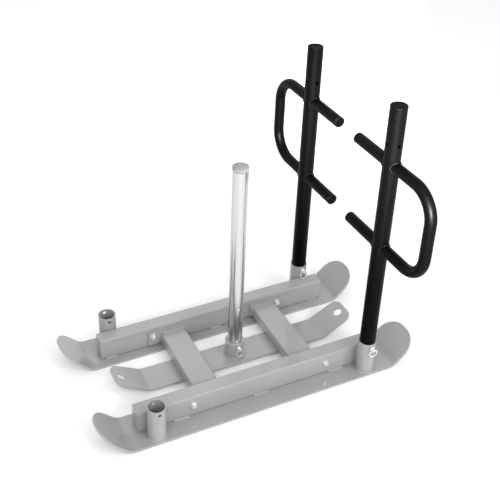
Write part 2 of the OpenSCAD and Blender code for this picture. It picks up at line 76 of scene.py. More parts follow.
def numbers(name, description, default, **more):
    return bpy.props.FloatVectorProperty(
        name=name, description=description, default=default, size=len(default), **more)


def length(name, description, default):
    """A size in metres."""
    return number(name, description, default, min=0.0, unit="LENGTH", precision=5)


def angle(name, description, degrees):
    """An angle, given in degrees and kept in radians."""
    return number(name, description, radians(degrees), unit="ROTATION")


def colour(name, description, default):
    """A linear colour."""
    return numbers(name, description, default, min=0.0, max=1.0, subtype="COLOR")


class SledSizes(PropertyGroup):
    """Sizes that the frame's boxes don't give"""
    skid_flat: length("Skid flat", "Length of a skid's flat part", 0.868)
    skid_bend: length("Skid bend", "Radius of the underside where a skid turns up", 0.052)
    skid_turn: angle("Skid turn", "Angle by which a skid's end turns up", 43.4)
    skid_end: length("Skid end", "Length of a skid's end along its underside", 0.141)
    skid_corner: length("Skid corner", "Corner radius at a skid's tip", 0.066)
    skid_thickness: length("Skid thickness", "Thickness of a skid", 0.007)
    plate_bend: length("Plate bend", "Radius of the underside where the pull plate turns up", 0.04)
    plate_turn: angle("Plate turn", "Angle by which the pull plate's end turns up", 28.3)
    plate_end: length("Plate end", "Length of the pull plate's end along its underside", 0.1333)
    plate_corner: length("Plate corner", "Corner radius at the pull plate's tip", 0.03)
    plate_hole: length("Plate hole", "Diameter of the pull hole", 0.03)
    plate_hole_edge: length("Plate hole to tip", "Distance from the pull hole's centre to the tip", 0.03)
    upright_wall: length("Upright wall", "Wall of an upright's tube", 0.0025)
    cap_rim: length("Cap rim", "Width of the raised rim on an upright's plug", 0.0065)
    cap_dish: length("Cap dish", "Depth of the dish inside that rim", 0.0016)
    cap_lip: length("Cap lip", "Height of the plug above the tube", 0.003)
    handle_bend: length("Handle bend", "Bend radius of a handle's centre line", 0.086)
    handle_wall: length("Handle wall", "Wall of a handle's tube", 0.0025)
    edge: length("Edge rounding", "Width of the rounding along the edges of plates and tubes", 0.0009)
    fine_edge: length("Fine edge rounding", "Width of the rounding along the edges of small pieces", 0.0004)
    stitch_bead: length("Stitch bead", "Radius of the weld beads along the beams", 0.0062)
    small_bead: length("Small bead", "Radius of the weld beads round the sockets", 0.0042)
    handle_bead: length("Handle bead", "Radius of the weld beads round the handles", 0.0044)
    seam_bead: length("Seam bead", "Radius of the beads between sockets and beams", 0.0029)
    ripple: length("Ripple pitch", "Distance between two ripples of a weld bead", 0.0024)
    ripple_depth: number("Ripple depth", "Depth of a ripple as a share of the bead's radius", 0.16,
                         min=0.0, max=1.0, subtype="FACTOR")
    bolt_diameter: length("Bolt diameter", "Diameter of the crossbars' bolts", 0.01)
    bolt_hexagon: length("Bolt hexagon", "Width across flats of the bolts' heads and nuts", 0.017)
    bolt_head: length("Bolt head", "Height of a bolt's head", 0.0064)
    nut_height: length("Nut height", "Height of a nut", 0.008)
    bolt_end: length("Bolt end", "Length of a bolt past its nut", 0.003)
    thread_pitch: length("Thread pitch", "Pitch of the bolts' thread", 0.0015)
    washer_diameter: length("Washer diameter", "Diameter of a washer", 0.02)
    washer_thickness: length("Washer thickness", "Thickness of a washer", 0.002)
    ring_wire: length("Ring wire", "Thickness of the two turns of a split ring together", 0.003)


class SledColours(PropertyGroup):
    """Colours of the finishes"""
    base: colour("Base paint", "Pale grey of the skids, beams and plates", (0.315, 0.315, 0.318))
    upright: colour("Upright paint", "Near black of the uprights and handles", (0.0003, 0.0003, 0.0004))
    plug: colour("Plugs", "Black of the tubes' plugs", (0.0004, 0.0004, 0.0005))
    chrome: colour("Chrome", "Chrome plate of the weight post", (0.68, 0.68, 0.681))
    cap: colour("Post cap", "Grey of the weight post's cap", (0.25, 0.25, 0.248))
    zinc: colour("Zinc", "Zinc plate of the pins, rings and bolts", (0.93, 0.935, 0.94))
    floor: colour("Floor", "Plain pale floor", (0.95, 0.95, 0.95))


class SledView(PropertyGroup):
    """The camera, as it stood for the photograph"""
    place: numbers("Camera place", "Where the camera stands", (-1.01131, -1.98207, 2.02251),
                   subtype="XYZ", unit="LENGTH")
    azimuth: angle("Azimuth", "Turn of the camera round the vertical", -24.733)
    elevation: angle("Elevation", "Height of the camera above the horizon", 30.751)
    roll: angle("Roll", "Turn of the camera round its own axis", 0.853)
    focal: number("Focal length", "Focal length as a multiple of the picture's width", 1.76512, min=0.1)
    shift: numbers("Shift", "Shift of the picture as a share of its width", (0.08, -0.15))


def sizes():
    return bpy.context.scene.sled_sizes


def colours():
    return bpy.context.scene.sled_colours


# Places in the frame

def middle(node):
    """Centre of a CAD node's box."""
    low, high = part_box(node)
    return (low + high) / 2


def extent(node):
    """Size of a CAD node's box."""
    low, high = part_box(node)
    return high - low


def outer_face(node, side):
    """Where a CAD node's box ends on the side away from the sled's middle, along Y."""
    low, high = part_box(node)
    return high.y if side > 0 else low.y


def inner_face(node, side):
    """Where a CAD node's box ends on the side towards the sled's middle, along Y."""
    return outer_face(node, -side)


# Shader and geometry nodes

def feed(tree, socket, value):
    """Links a socket to another node's output, or sets its value."""
    if isinstance(value, bpy.types.NodeSocket):
        tree.links.new(value, socket)
    else:
        socket.default_value = value


def configured(made, settings):
    """Sets attributes of a node, modifier or light, and returns it."""
    for key, setting in settings.items():
        setattr(made, key, setting)
    return made


def add_node(tree, kind, inputs=None, output=0, **settings):
    """Adds a node, feeds its inputs by name or number and returns one of its outputs."""
    made = configured(tree.nodes.new(kind), settings)
    for key, value in (inputs or {}).items():
        feed(tree, made.inputs[key], value)
    return made.outputs[output]


def arithmetic(tree, operation, first, second=0.0):
    return add_node(tree, "ShaderNodeMath", {0: first, 1: second}, operation=operation)


def mapped(tree, value, low, high):
    """A value from 0 to 1, spread from low to high."""
    return add_node(tree, "ShaderNodeMapRange", {"Value": value, "To Min": low, "To Max": high})


def blended(tree, amount, first, second):
    """Mix of two colours."""
    return add_node(tree, "ShaderNodeMix", {"Factor": amount, "A": first, "B": second},
                    output="Result", data_type="RGBA")


def tinted(base, factor):
    """A colour made lighter or darker, with its alpha."""
    return (*(min(1.0, channel * factor) for channel in base[:3]), 1.0)


def bump(tree, height, strength, distance, below=None):
    inputs = {"Height": height, "Strength": strength, "Distance": distance}
    if below is not None:
        inputs["Normal"] = below
    return add_node(tree, "ShaderNodeBump", inputs)


def contrast(tree, value, low, high):
    """A value that rises from 0 at low to 1 at high."""
    return add_node(tree, "ShaderNodeMapRange", {"Value": value, "From Min": low, "From Max": high})


class Finish:
    """One material, with its object coordinates at hand."""

    def __init__(self, name, metallic=0.0, coat=0.0, coat_roughness=0.1, specular=0.5):
        self.material = bpy.data.materials.new(name)
        self.material.use_nodes = True
        self.tree = self.material.node_tree
        self.shader = self.tree.nodes["Principled BSDF"]
        self.where = add_node(self.tree, "ShaderNodeTexCoord", output="Object")
        self.feed({"Metallic": metallic, "Coat Weight": coat, "Coat Roughness": coat_roughness,
                   "Specular IOR Level": specular})

    def feed(self, inputs):
        for name, value in inputs.items():
            feed(self.tree, self.shader.inputs[name], value)

    def noise(self, scale, detail=2.0, roughness=0.5):
        return self.noise_at(self.where, scale, detail, roughness)

    def streaks(self, scale, detail, roughness=0.5):
        """Noise with its own scale along each axis."""
        where = add_node(self.tree, "ShaderNodeMapping", {"Vector": self.where, "Scale": scale})
        return self.noise_at(where, 1.0, detail, roughness)

    def noise_at(self, where, scale, detail, roughness):
        return add_node(self.tree, "ShaderNodeTexNoise",
                        {"Vector": where, "Scale": scale, "Detail": detail, "Roughness": roughness})

    def set(self, base, rough, normal):
        self.feed({"Base Color": base, "Roughness": rough, "Normal": normal})
        return self.material


def powder_coat(name, base, rough, worn, bare, specular, coat=0.0):
    """Powder coat with a fine orange-peel skin and slight clouds of tone.
    Worn is the share of an edge where the coat is rubbed thin and the bare colour shows."""
    finish = Finish(name, coat=coat, coat_roughness=0.13, specular=specular)
    tree = finish.tree
    clouds = finish.noise(7.0, 4.0)
    mottle = finish.noise(120.0, 3.0)
    tone = arithmetic(tree, "ADD", arithmetic(tree, "MULTIPLY", clouds, 0.7),
                      arithmetic(tree, "MULTIPLY", mottle, 0.3))
    paint = blended(tree, contrast(tree, tone, 0.3, 0.7), tinted(base, 0.93), tinted(base, 1.06))
    streaks = finish.streaks((14.0, 260.0, 260.0), 3.0)
    scuffs = contrast(tree, streaks, 0.62, 0.72)
    paint = blended(tree, arithmetic(tree, "MULTIPLY", scuffs, 0.10), paint, tinted(bare, 1.0))
    gloss = mapped(tree, mottle, rough - 0.05, rough + 0.06)
    if worn > 0:
        thin = finish.noise(55.0, 4.0, 0.6)
        rubbed = contrast(tree, thin, 0.62 - worn * 0.3, 0.72 - worn * 0.3)
        paint = blended(tree, arithmetic(tree, "MULTIPLY", rubbed, 0.55), paint, tinted(bare, 1.0))
    peel = bump(tree, finish.noise(520.0, 2.0), 0.10, 0.0004)
    skin = bump(tree, finish.noise(1900.0, 1.0), 0.06, 0.0002, peel)
    return finish.set(paint, gloss, skin)


def plated_metal(name, base, rough, fine, broad, dulled):
    """Plated metal with fine marks and broad streaks that follow the way it was polished.
    Dulled is how much darker the metal is in the streaks."""
    finish = Finish(name, metallic=1.0)
    tree = finish.tree
    clouds = finish.noise(60.0, 3.0)
    marks = finish.streaks(fine, 3.0, 0.6)
    streaks = contrast(tree, finish.streaks(broad, 2.0), 0.35, 0.65)
    metal = blended(tree, clouds, tinted(base, 0.95), tinted(base, 1.03))
    metal = blended(tree, arithmetic(tree, "MULTIPLY", streaks, dulled), metal, tinted(base, 0.2))
    gloss = mapped(tree, marks, rough * 0.75, rough * 1.3)
    return finish.set(metal, gloss, bump(tree, marks, 0.06, 0.0002))


def moulded_plastic(name, base, rough, specular):
    """Moulded plastic with a fine grain."""
    finish = Finish(name, specular=specular)
    tree = finish.tree
    clouds = finish.noise(90.0, 3.0)
    grain = finish.noise(2600.0, 1.0)
    plastic = blended(tree, clouds, tinted(base, 0.88), tinted(base, 1.12))
    gloss = mapped(tree, clouds, rough - 0.06, rough + 0.06)
    return finish.set(plastic, gloss, bump(tree, grain, 0.12, 0.0002))


def base_paints():
    base = colours().base
    bare = tinted(base, 1.35)
    # The edge material is 8 % lighter than the paint: a painted highlight along the rounded edges, under
    # rubbed wear where the bare colour shows.
    return [powder_coat("base_paint", base, 0.46, 0.0, bare, 0.3, 0.8),
            powder_coat("base_paint_edge_highlight_and_wear", tinted(base, 1.08), 0.42, 0.5, bare, 0.3, 1.0)]


def upright_paints():
    base = colours().upright
    bare = tinted(base, 5.0)
    # The edge material is lighter than the paint: a painted highlight along the rounded edges, under rubbed
    # wear where the bare colour shows.
    return [powder_coat("upright_paint", base, 0.42, 0.0, bare, 0.07),
            powder_coat("upright_paint_edge_highlight_and_wear", tinted(base, 1.8), 0.4, 0.6, bare, 0.15)]


def chrome_plates():
    base = colours().chrome
    fine = (700.0, 700.0, 3.0)
    broad = (110.0, 110.0, 0.8)
    return [plated_metal("chrome", base, 0.21, fine, broad, 0.22),
            plated_metal("chrome_edge", base, 0.21, fine, broad, 0.2)]


def zinc_plates():
    base = colours().zinc
    fine = (400.0, 60.0, 400.0)
    broad = (90.0, 90.0, 90.0)
    # The edge material is lighter and glossier: a painted highlight along the rounded edges.
    return [plated_metal("zinc", base, 0.34, fine, broad, 0.12),
            plated_metal("zinc_edge_highlight", tinted(base, 1.05), 0.28, fine, broad, 0.08)]


def plug_plastics():
    base = colours().plug
    # The edge material is half again as light: a painted highlight round the plugs' rims.
    return [moulded_plastic("plug", base, 0.5, 0.05),
            moulded_plastic("plug_edge_highlight", tinted(base, 1.5), 0.5, 0.1)]


def cap_plastics():
    base = colours().cap
    return [moulded_plastic("post_cap", base, 0.45, 0.15),
            moulded_plastic("post_cap_edge", tinted(base, 0.95), 0.45, 0.12)]


FINISHES = {
    "base_paint": base_paints,
    "upright_paint": upright_paints,
    "post_chrome": chrome_plates,
    "zinc": zinc_plates,
    "plug_plastic": plug_plastics,
    "cap_plastic": cap_plastics,
}
made_finishes = {}


def finish_of(slot):
    """The material of a slot's surfaces and that of its edges, which for most slots is lighter, as a painted
    highlight.
    """
    if slot not in made_finishes:
        made_finishes[slot] = FINISHES[slot]()
    return made_finishes[slot]


# Meshes

def linked(name, data):
    """A new object over its data, linked to the scene."""
    made = bpy.data.objects.new(name, data)
    bpy.context.scene.collection.objects.link(made)
    return made


def shape_of(mesh):
    """A bmesh with a mesh's shape."""
    shape = bmesh.new()
    shape.from_mesh(mesh)
    return shape


def mesh_of(name, shape):
    """A mesh with a bmesh's shape. The bmesh is freed."""
    mesh = bpy.data.meshes.new(name)
    shape.to_mesh(mesh)
    shape.free()
    return mesh


def loose_object(name, shape, slot):
    """A temporary object over a bmesh, with the two materials of a slot."""
    mesh = mesh_of(name, shape)
    for material in finish_of(slot):
        mesh.materials.append(material)
    return linked(name + "_work", mesh)


def baked(work):
    """The plain mesh of an object with its modifiers. The object is removed."""
    bpy.context.view_layer.update()
    graph = bpy.context.evaluated_depsgraph_get()
    mesh = bpy.data.meshes.new_from_object(
        work.evaluated_get(graph), preserve_all_data_layers=True, depsgraph=graph)
    bpy.data.objects.remove(work)
    return mesh


def piece(name, mesh, nodes, body="sled"):
    """Links a finished mesh as a piece that stands in for CAD nodes."""
    mesh.name = name
    made = linked(name, mesh)
    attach(made, body)
    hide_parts(*nodes)


def modify(work, kind, **settings):
    return configured(work.modifiers.new(kind, kind), settings)


def soften(work, width, segments):
    """Rounds an object's sharp edges, gives them the edge material, lighter on most finishes as a painted
    highlight, and keeps flat faces flat.
    """
    modify(work, "BEVEL", width=width, segments=segments, limit_method="ANGLE", angle_limit=SHARP,
           material=1)
    modify(work, "WEIGHTED_NORMAL", keep_sharp=True)
    for face in work.data.polygons:
        face.use_smooth = True


def merged_copy(node):
    """A CAD node's shape with its loose triangles joined at their corners."""
    shape = shape_of(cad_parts[node].data)
    bmesh.ops.remove_doubles(shape, verts=shape.verts, dist=MERGE)
    return shape


def join_flat_faces(shape):
    bmesh.ops.dissolve_limit(
        shape, angle_limit=radians(0.4), verts=shape.verts, edges=shape.edges)


def softened(name, shape, slot, width, nodes, body="sled", segments=3):
    """Links a bmesh's shape with rounded edges as a piece that stands in for CAD nodes."""
    work = loose_object(name, shape, slot)
    soften(work, width, segments)
    piece(name, baked(work), nodes, body)


def dressed_copy(node, name, slot, width, body="sled"):
    """Stands a copy with rounded edges in for a CAD node."""
    shape = merged_copy(node)
    join_flat_faces(shape)
    softened(name, shape, slot, width, [node], body)


def painted(node):
    """Stands a copy in the base's paint in for a CAD node."""
    dressed_copy(node, "painted_" + node, "base_paint", sizes().edge)


def circle(radius, height, count=ROUND):
    """Points round a level circle."""
    turns = [tau * i / count for i in range(count)]
    return [Vector((radius * cos(t), radius * sin(t), height)) for t in turns]


def skin(shape, rings, closed=False):
    """Covers rings of equally many points, one above the other.
    The ends get a face each, or a closed skin runs from the last ring back to the first."""
    loops = [[shape.verts.new(point) for point in ring] for ring in rings]
    pairs = list(zip(loops, loops[1:]))
    if closed:
        pairs.append((loops[-1], loops[0]))
    for low, high in pairs:
        for i in range(len(low)):
            j = (i + 1) % len(low)
            shape.faces.new((low[i], low[j], high[j], high[i]))
    if not closed:
        shape.faces.new(reversed(loops[0]))
        shape.faces.new(loops[-1])
    bmesh.ops.recalc_face_normals(shape, faces=shape.faces)


def drill(diameter, depth, place, axis):
    """A round cutter centred at a place along an axis."""
    shape = bmesh.new()
    radius = diameter / 2
    skin(shape, [circle(radius, -depth / 2), circle(radius, depth / 2)])
    turn = Vector((0, 0, 1)).rotation_difference(axis).to_matrix().to_4x4()
    bmesh.ops.transform(shape, matrix=Matrix.Translation(place) @ turn, verts=shape.verts)
    return shape


# Bent strips

class Strip:
    """A flat bar along X whose two ends turn up and have rounded corners."""

    def __init__(self, flat, bend, turn, end, corner, width, thickness):
        self.flat = flat
        self.bend = bend
        self.corner = corner
        self.width = width
        self.thickness = thickness
        self.half = flat / 2 + end
        self.arc = bend * turn

    def at(self, s, height):
        """Place in the side view at a distance s from the middle and a height above the underside."""
        past = max(0.0, s - self.flat / 2)
        if past == 0.0:
            return s, height
        turned = min(past, self.arc) / self.bend
        straight = max(0.0, past - self.arc)
        across = (self.bend - height) * sin(turned) + straight * cos(turned)
        up = self.bend - (self.bend - height) * cos(turned) + straight * sin(turned)
        return self.flat / 2 + across, up

    def half_width(self, s):
        """Half of the strip's width at a distance s from the middle."""
        past = s - (self.half - self.corner)
        if past <= 0:
            return self.width / 2
        return self.width / 2 - self.corner + sqrt(max(0.0, self.corner ** 2 - past ** 2))

    def stations(self, bend_steps=36, corner_steps=28):
        """Distances from the middle at which the strip's section is set."""
        found = [0.0]
        found += [self.flat / 2 + self.arc * i / bend_steps for i in range(bend_steps + 1)]
        corner_start = self.half - self.corner
        found += [corner_start + self.corner * sin(pi / 2 * i / corner_steps)
                  for i in range(corner_steps + 1)]
        return sorted(set(found))

    def shape(self, y, z):
        """The strip as a closed bmesh with its underside's flat part at height z."""
        made = bmesh.new()
        outward = self.stations()
        rings = []
        for s in [-s for s in reversed(outward)] + outward[1:]:
            wide = self.half_width(abs(s))
            ring = []
            for across, height in ((-1, 0.0), (1, 0.0), (1, self.thickness), (-1, self.thickness)):
                x, up = self.at(abs(s), height)
                ring.append(Vector((copysign(x, s), y + across * wide, z + up)))
            rings.append(ring)
        skin(made, rings)
        join_flat_faces(made)
        return made


# Geometry Nodes

class Tree:
    """A Geometry Nodes tree with named inputs."""

    def __init__(self, name, inputs):
        self.tree = bpy.data.node_groups.new(name, "GeometryNodeTree")
        self.socket("Geometry", "INPUT", "NodeSocketGeometry")
        for label, kind in inputs.items():
            self.socket(label, "INPUT", kind)
        self.socket("Material", "INPUT", "NodeSocketMaterial")
        self.socket("Geometry", "OUTPUT", "NodeSocketGeometry")
        self.entry = self.tree.nodes.new("NodeGroupInput")
        self.exit = self.tree.nodes.new("NodeGroupOutput")

    def socket(self, label, way, kind):
        self.tree.interface.new_socket(name=label, in_out=way, socket_type=kind)

    def __getitem__(self, label):
        """One of the tree's inputs by name."""
        return self.entry.outputs[label]

    def add(self, kind, inputs=None, output=0, **settings):
        return add_node(self.tree, kind, inputs, output, **settings)

    def vector(self, **parts):
        return add_node(self.tree, "ShaderNodeCombineXYZ", parts)

    def math(self, operation, first, second=0.0):
        return arithmetic(self.tree, operation, first, second)

    def close(self, geometry):
        """Ends the tree: smooth faces, real geometry, one material."""
        smooth = self.add("GeometryNodeSetShadeSmooth", {"Geometry": geometry})
        real = self.add("GeometryNodeRealizeInstances", {"Geometry": smooth})
        done = self.add("GeometryNodeSetMaterial", {"Geometry": real, "Material": self["Material"]})
        feed(self.tree, self.exit.inputs["Geometry"], done)
        return self.tree


FLOAT = "NodeSocketFloat"
INTEGER = "NodeSocketInt"


def tube_tree():
    """A round tube along a path whose corners are bent to a radius."""
    nodes = Tree("Bent tube", {"Tube Radius": FLOAT, "Bend Radius": FLOAT, "Sides": INTEGER,
                               "Bend Steps": INTEGER})
    path = nodes.add("GeometryNodeMeshToCurve", {"Mesh": nodes["Geometry"]})
    bends = {"Curve": path, "Count": nodes["Bend Steps"], "Radius": nodes["Bend Radius"]}
    bent = nodes.add("GeometryNodeFilletCurve", bends, mode="POLY")
    section = nodes.add("GeometryNodeCurvePrimitiveCircle",
                        {"Resolution": nodes["Sides"], "Radius": nodes["Tube Radius"]})
    return nodes.close(nodes.add("GeometryNodeCurveToMesh", {"Curve": bent, "Profile Curve": section}))


# Steps along a weld bead for each ripple
RIPPLE_STEPS = 5.0
# Just over 1, so that a bead's round end closes with a small cap
BEAD_END = 1.02


def weld_tree():
    """A rippled bead along paths. Open beads have round ends."""
    nodes = Tree("Weld bead", {"Bead Radius": FLOAT, "Ripple Pitch": FLOAT, "Ripple Depth": FLOAT,
                               "Round Ends": FLOAT, "Seed": FLOAT})
    path = nodes.add("GeometryNodeMeshToCurve", {"Mesh": nodes["Geometry"]})
    step = nodes.math("DIVIDE", nodes["Ripple Pitch"], RIPPLE_STEPS)
    path = nodes.add("GeometryNodeResampleCurve", {"Curve": path, "Length": step}, mode="LENGTH")
    along = nodes.add("GeometryNodeSplineParameter", output="Length")
    whole = nodes.add("GeometryNodeSplineLength", output="Length")
    wander = add_node(nodes.tree, "ShaderNodeTexNoise",
                      {"W": nodes["Seed"], "Scale": 130.0, "Detail": 2.0}, noise_dimensions="4D")
    phase = nodes.math("ADD", nodes.math("DIVIDE", along, nodes["Ripple Pitch"]), wander)
    ripple = nodes.math("MULTIPLY", nodes.math("FRACT", phase), nodes["Ripple Depth"])
    uneven = nodes.math("MULTIPLY", wander, nodes["Ripple Depth"])
    swell = nodes.math("SUBTRACT", nodes.math("ADD", 1.0, nodes.math("MULTIPLY", uneven, 0.5)), ripple)
    to_end = nodes.math("MINIMUM", along, nodes.math("SUBTRACT", whole, along))
    near_end = nodes.math("MINIMUM", nodes.math("DIVIDE", to_end, nodes["Bead Radius"]), 1.0)
    gap = nodes.math("SUBTRACT", 1.0, near_end)
    inside = nodes.math("SUBTRACT", BEAD_END, nodes.math("MULTIPLY", gap, gap))
    dome = nodes.math("SQRT", nodes.math("MAXIMUM", inside, 0.0))
    taper = nodes.math("MAXIMUM", dome, nodes.math("SUBTRACT", 1.0, nodes["Round Ends"]))
    taper = nodes.math("MINIMUM", taper, 1.0)
    section = nodes.add("GeometryNodeCurvePrimitiveCircle",
                        {"Resolution": 14, "Radius": nodes["Bead Radius"]})
    bead = nodes.add("GeometryNodeCurveToMesh",
                     {"Curve": path, "Profile Curve": section, "Scale": nodes.math("MULTIPLY", swell, taper),
                      "Fill Caps": True})
    return nodes.close(bead)


def fastener_tree():
    """Copies of a fastener on points that hold the side they face, each turned by chance."""
    nodes = Tree("Fasteners", {"Part": "NodeSocketObject", "Turn": FLOAT, "Seed": INTEGER})
    part = nodes.add("GeometryNodeObjectInfo", {"Object": nodes["Part"]}, output="Geometry")
    side = nodes.add("GeometryNodeInputNamedAttribute", {"Name": "side"}, data_type="FLOAT")
    tilt = nodes.vector(X=nodes.math("MULTIPLY", side, -pi / 2))
    copies = nodes.add("GeometryNodeInstanceOnPoints",
                       {"Points": nodes.add("GeometryNodeMeshToPoints", {"Mesh": nodes["Geometry"]}),
                        "Instance": part, "Rotation": tilt})
    chance = nodes.tree.nodes.new("FunctionNodeRandomValue")
    feed(nodes.tree, chance.inputs[3], nodes["Turn"])
    feed(nodes.tree, chance.inputs["Seed"], nodes["Seed"])
    spin = nodes.vector(Z=chance.outputs[1])
    turned = nodes.add("GeometryNodeRotateInstances", {"Instances": copies, "Rotation": spin})
    return nodes.close(turned)


def coil_tree():
    """Two touching turns of flat wire: a split ring."""
    nodes = Tree("Split ring", {"Ring Radius": FLOAT, "Wire Width": FLOAT, "Wire Thickness": FLOAT,
                                "Centre": "NodeSocketVector", "Tilt": FLOAT})
    thick = nodes["Wire Thickness"]
    coil = nodes.add("GeometryNodeCurveSpiral",
                     {"Resolution": 72, "Rotations": 1.96, "Start Radius": nodes["Ring Radius"],
                      "End Radius": nodes["Ring Radius"], "Height": thick})
    coil = nodes.add("GeometryNodeSetCurveNormal", {"Curve": coil}, mode="Z_UP")
    section = nodes.add("GeometryNodeCurvePrimitiveQuadrilateral",
                        {"Width": nodes["Wire Width"], "Height": thick})
    rounding = nodes.math("MULTIPLY", thick, 0.42)
    section = nodes.add("GeometryNodeFilletCurve", {"Curve": section, "Count": 4, "Radius": rounding},
                        mode="POLY")
    wire = nodes.add("GeometryNodeCurveToMesh",
                     {"Curve": coil, "Profile Curve": section, "Fill Caps": True})
    low = nodes.vector(Z=nodes.math("MULTIPLY", thick, -0.5))
    level = nodes.add("GeometryNodeTransform", {"Geometry": wire, "Translation": low})
    tilt = nodes.vector(X=nodes["Tilt"])
    placed = nodes.add("GeometryNodeTransform",
                       {"Geometry": level, "Translation": nodes["Centre"], "Rotation": tilt})
    return nodes.close(placed)


def grown(work, tree, slot, values):
    """The mesh that a tree makes of an object with the given inputs. The object is removed."""
    modifier = modify(work, "NODES", node_group=tree)
    values["Material"] = finish_of(slot)[0]
    for item in tree.interface.items_tree:
        if item.in_out == "INPUT" and item.name in values:
            modifier[item.identifier] = values[item.name]
    return outward(baked(work))


def path_object(name, paths, slot):
    """A temporary object of poly lines. Each path is its points and whether it closes."""
    shape = bmesh.new()
    for points, closed in paths:
        verts = [shape.verts.new(point) for point in points]
        pairs = list(zip(verts, verts[1:]))
        if closed:
            pairs.append((verts[-1], verts[0]))
        for pair in pairs:
            shape.edges.new(pair)
    return loose_object(name, shape, slot)


def outward(mesh):
    """Turns every face of a closed mesh outwards."""
    shape = shape_of(mesh)
    bmesh.ops.recalc_face_normals(shape, faces=shape.faces)
    shape.to_mesh(mesh)
    shape.free()
    return mesh


def weld(name, paths, bead, node, seed, slot="base_paint", round_ends=True):
    """Lays rippled beads along paths and stands them in for a CAD node."""
    beads = grown(path_object(name, paths, slot), weld_tree(), slot, {
        "Bead Radius": bead, "Ripple Pitch": sizes().ripple, "Ripple Depth": sizes().ripple_depth,
        "Round Ends": float(round_ends), "Seed": float(seed)})
    piece(name, beads, [node])


def arc(centre, radius, start, stop, steps):
    """Points round part of a level circle, by angles in degrees."""
    turns = [radians(start + (stop - start) * i / steps) for i in range(steps + 1)]
    return [Vector((centre[0] + radius * cos(t), centre[1] + radius * sin(t), centre[2]))
            for t in turns]


# Operators, one for each piece or group of like pieces

class SLED_OT_stage(Operator):
    """Sets up the floor, the lights and the camera"""
    bl_idname = "sled.stage"
    bl_label = "Stage"

    def execute(self, context):
        self.add_floor()
        self.add_world(context.scene)
        self.add_softbox("key", (-1.6, -2.8, 2.3), (2.6, 2.2), 44.0)
        self.add_softbox("strip", (1.2, -2.7, 2.3), (2.4, 0.14), 48.0)
        self.add_softbox("back", (0.6, 3.0, 2.6), (2.6, 2.6), 14.0)
        self.add_light("low front", "SPOT", (-1.2, -3.5, 1.75), (0.66, 0.27, 0.7), energy=16000.0,
                       spot_size=radians(8.2), spot_blend=0.2, shadow_soft_size=0.3)
        self.add_camera(context.scene)
        return {"FINISHED"}

    def add_floor(self, radius=30.0, thickness=0.002):
        shape = bmesh.new()
        skin(shape, [circle(radius, -thickness), circle(radius, 0.0)])
        mesh = mesh_of("floor", shape)
        finish = Finish("floor", specular=0.1)
        clouds = finish.noise(1.5, 2.0)
        base = colours().floor
        tone = blended(finish.tree, clouds, tinted(base, 0.995), tinted(base, 1.005))
        grain = bump(finish.tree, finish.noise(400.0), 0.02, 0.0002)
        mesh.materials.append(finish.set(tone, mapped(finish.tree, clouds, 0.85, 0.95), grain))
        linked("floor", mesh)

    def add_world(self, scene):
        scene.world = bpy.data.worlds.new("studio")
        scene.world.use_nodes = True
        sky = scene.world.node_tree.nodes["Background"]
        sky.inputs["Color"].default_value = (1.0, 1.0, 1.0, 1.0)
        sky.inputs["Strength"].default_value = 0.9
        scene.view_settings.view_transform = "Standard"

    def add_softbox(self, name, place, size, power):
        self.add_light(name, "AREA", place, (0, 0, 0.3), energy=power, shape="RECTANGLE",
                       size=size[0], size_y=size[1])

    def add_light(self, name, kind, place, target, **settings):
        lamp = linked(name, configured(bpy.data.lights.new(name, kind), settings))
        lamp.location = place
        lamp.rotation_mode = "QUATERNION"
        lamp.rotation_quaternion = (Vector(target) - Vector(place)).to_track_quat("-Z", "Y")

    def add_camera(self, scene):
        view = scene.sled_view
        data = bpy.data.cameras.new("camera")
        data.sensor_width = 36.0
        data.lens = view.focal * data.sensor_width
        data.shift_x, data.shift_y = view.shift
        level = cos(view.elevation)
        back = Vector((sin(view.azimuth) * level, -cos(view.azimuth) * level,
                       sin(view.elevation)))
        right = Vector((cos(view.azimuth), sin(view.azimuth), 0))
        turn = Matrix((right, back.cross(right), back)).transposed()
        scene.camera = linked("camera", data)
        scene.camera.matrix_world = Matrix.LocRotScale(
            Vector(view.place), turn @ Matrix.Rotation(view.roll, 3, "Z"), None)


class SLED_OT_skids(Operator):
    """Makes the two skids as smoothly bent plates with rounded tips"""
    bl_idname = "sled.skids"
    bl_label = "Skids"

    def execute(self, context):
        size = sizes()
        for side in SIDES:
            node = "skid_" + side
            strip = Strip(size.skid_flat, size.skid_bend, size.skid_turn, size.skid_end, size.skid_corner,
                          extent(node).y, size.skid_thickness)
            softened("painted_" + node, strip.shape(middle(node).y, 0.0), "base_paint", size.edge, [node])
        return {"FINISHED"}


class SLED_OT_pull_plate(Operator):
    """Makes the pull plate, a long bent strip with a hole at each end"""
    bl_idname = "sled.pull_plate"
    bl_label = "Pull Plate"

    def execute(self, context):
        size = sizes()
        flat = extent("pull_plate")
        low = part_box("pull_plate")[0].z
        strip = Strip(flat.x, size.plate_bend, size.plate_turn, size.plate_end, size.plate_corner,
                      flat.y, flat.z)
        name = "painted_pull_plate"
        work = loose_object(name, strip.shape(0.0, low), "base_paint")
        cutter = bmesh.new()
        for end in ENDS.values():
            x, up = strip.at(strip.half - size.plate_hole_edge, flat.z / 2)
            lean = Vector((-end * sin(size.plate_turn), 0, cos(size.plate_turn)))
            hole = drill(size.plate_hole, 4 * flat.z, Vector((end * x, 0, low + up)), lean)
            cutter.from_mesh(mesh_of("hole", hole))
        tool = loose_object("holes", cutter, "base_paint")
        modify(work, "BOOLEAN", operation="DIFFERENCE", solver="EXACT", object=tool)
        shape = shape_of(baked(work))
        bpy.data.objects.remove(tool)
        join_flat_faces(shape)
        softened(name, shape, "base_paint", size.edge,
                 ["pull_plate", "pull_plate_end_front", "pull_plate_end_rear"])
        return {"FINISHED"}


